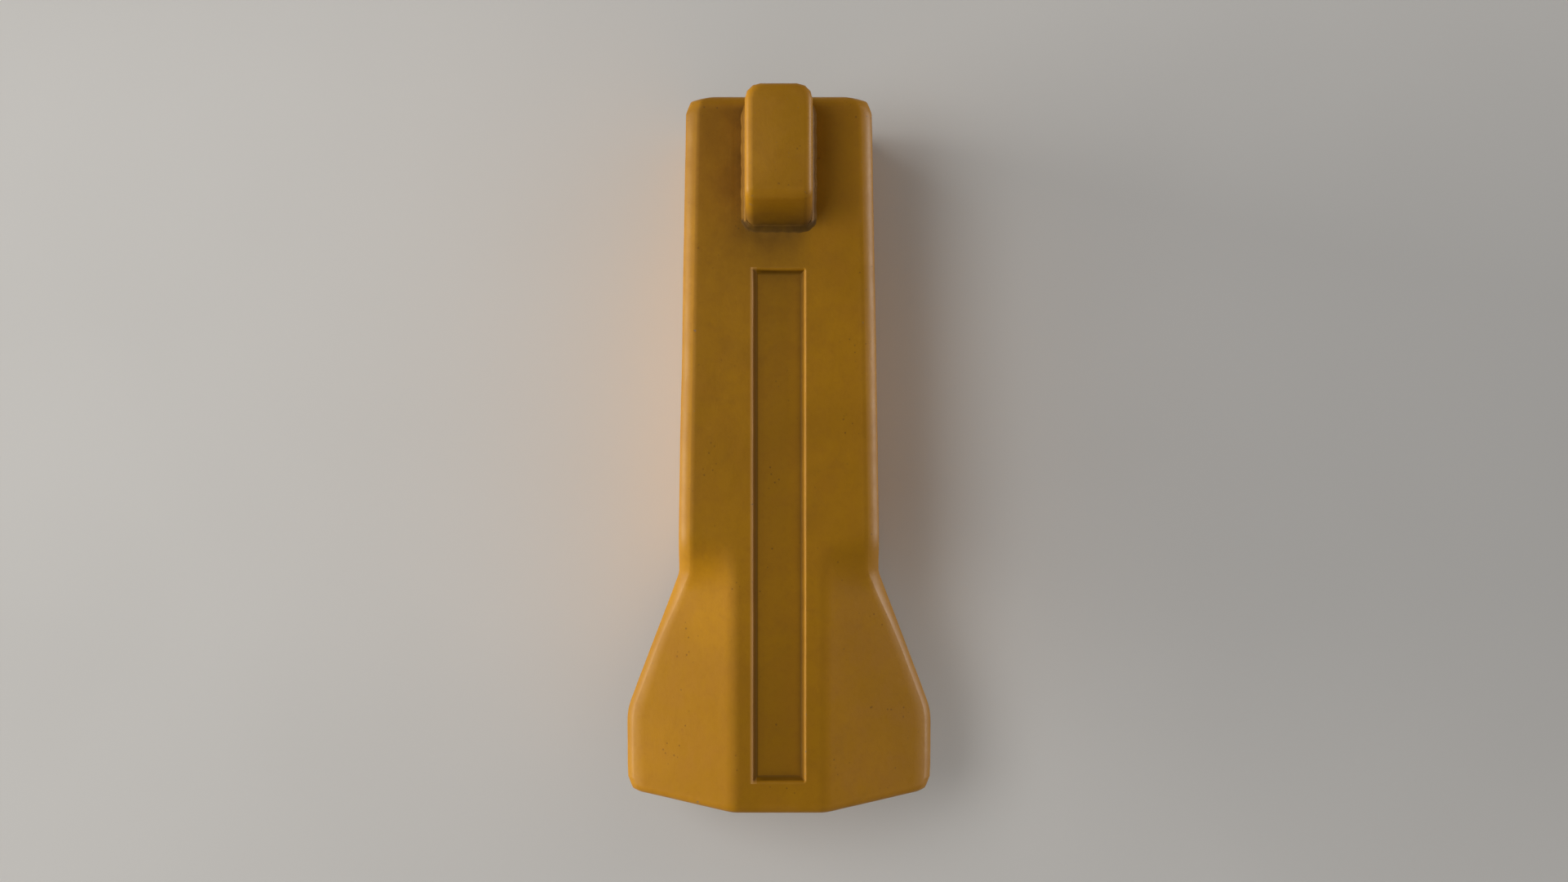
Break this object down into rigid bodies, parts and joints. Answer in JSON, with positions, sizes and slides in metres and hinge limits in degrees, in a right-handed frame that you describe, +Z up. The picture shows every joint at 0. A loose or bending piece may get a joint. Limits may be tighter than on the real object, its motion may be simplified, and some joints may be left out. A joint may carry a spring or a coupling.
{
  "type": "excavator bucket tooth",
  "caption": "Flared excavator bucket tooth with a raised crest and lifting lug, seated on a weld-on nose and held by half-turn side locks.",
  "frame": {"origin": "centre of the nose's weld face", "axes": "+Y out of the weld face, towards the bucket lip; +Z up through the crest and lug; the cutting edge points to -Y"},
  "size_m": [0.131, 0.301, 0.102],
  "materials": {
    "ochre_paint": "satin paint on a cast surface, lightly soiled",
    "cast_steel": "cast low-alloy steel, machined weld face",
    "hardened_steel": "turned and hardened",
    "lock_steel": "phosphated",
    "sleeve_polymer": "moulded",
    "black_rubber": "moulded",
    "bumper_elastomer": "cast polyurethane",
    "plug_rubber": "moulded"
  },
  "bodies": {
    "nose": {"adapter_nose": "cast_steel", "cross_pin": "hardened_steel", "pin_roll_pin": "hardened_steel", "nose_bumper": "bumper_elastomer", "mouth_seal": "black_rubber"},
    "tooth": {"tooth_point": "ochre_paint", "lifting_lug": "ochre_paint", "lug_weld": "ochre_paint", "lock_sleeve_left": "sleeve_polymer", "lock_sleeve_right": "sleeve_polymer"},
    "lock_left_body": {"lock_left": "lock_steel", "lock_o_ring_left": "black_rubber"},
    "lock_right_body": {"lock_right": "lock_steel", "lock_o_ring_right": "black_rubber"},
    "plug_left_body": {"drive_plug_left": "plug_rubber"},
    "plug_right_body": {"drive_plug_right": "plug_rubber"}
  },
  "joints": [
    {"name": "tooth_slide", "type": "slide", "parent": "nose", "child": "tooth", "axis": [0, -1, 0], "range_m": [0, 0.175]},
    {"name": "lock_left_turn", "type": "hinge", "parent": "tooth", "child": "lock_left_body", "pos_m": [-0.03, -0.038, 0], "axis": [1, 0, 0], "range_deg": [0, 180]},
    {"name": "lock_right_turn", "type": "hinge", "parent": "tooth", "child": "lock_right_body", "pos_m": [0.03, -0.038, 0], "axis": [1, 0, 0], "range_deg": [0, 180]},
    {"name": "plug_left_pull", "type": "slide", "parent": "lock_left_body", "child": "plug_left_body", "axis": [-1, 0, 0], "range_m": [0, 0.015]},
    {"name": "plug_right_pull", "type": "slide", "parent": "lock_right_body", "child": "plug_right_body", "axis": [1, 0, 0], "range_m": [0, 0.015]}
  ]
}
